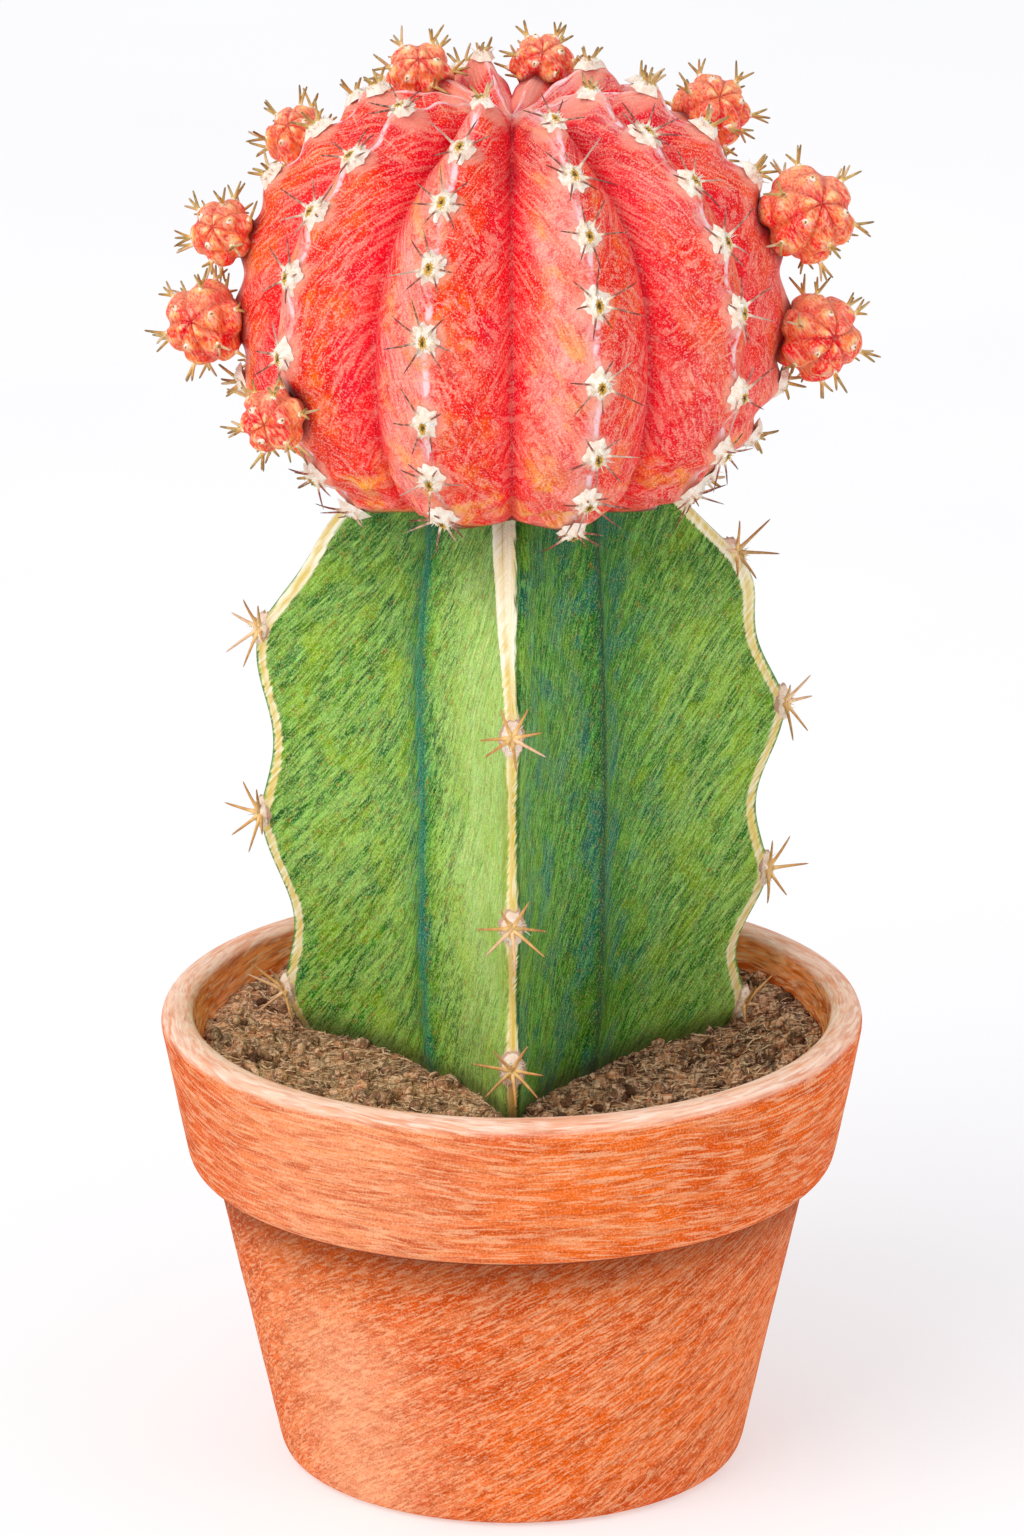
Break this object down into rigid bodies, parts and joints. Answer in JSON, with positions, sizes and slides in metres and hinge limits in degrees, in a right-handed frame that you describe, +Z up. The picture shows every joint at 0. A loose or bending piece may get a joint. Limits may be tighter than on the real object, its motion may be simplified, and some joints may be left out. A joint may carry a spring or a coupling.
{
  "type": "potted moon cactus",
  "caption": "Red ribbed globe cactus with small offsets, grafted on a green three-winged rootstock, standing in soil in a small terracotta pot with a banded rim.",
  "frame": {"origin": "centre of the pot's base, on the surface it stands on", "axes": "+Z up along the pot's axis; the side shown in the picture faces -Y, with +X to its right"},
  "size_m": [0.0708, 0.07, 0.1457],
  "materials": {
    "terracotta": "unglazed, matt, finely streaked round the pot",
    "soil": "crumbly dark potting soil with paler fibres",
    "green_flesh": "waxy mottled green skin with a pale horny margin",
    "red_flesh": "soft satin red skin with crimson furrows",
    "offset_flesh": "soft satin orange-red skin"
  },
  "bodies": {
    "root": {"pot": "terracotta", "soil": "soil", "rootstock": "green_flesh", "scion": "red_flesh", "offset_left_upper": "offset_flesh", "offset_left_middle": "offset_flesh", "offset_left_lower": "offset_flesh", "offset_left_shoulder": "offset_flesh", "offset_crown_left": "offset_flesh", "offset_crown_right": "offset_flesh", "offset_right_shoulder": "offset_flesh", "offset_right_upper": "offset_flesh", "offset_right_lower": "offset_flesh", "offset_back_left": "offset_flesh", "offset_back_right": "offset_flesh", "offset_back_low": "offset_flesh"}
  },
  "joints": []
}
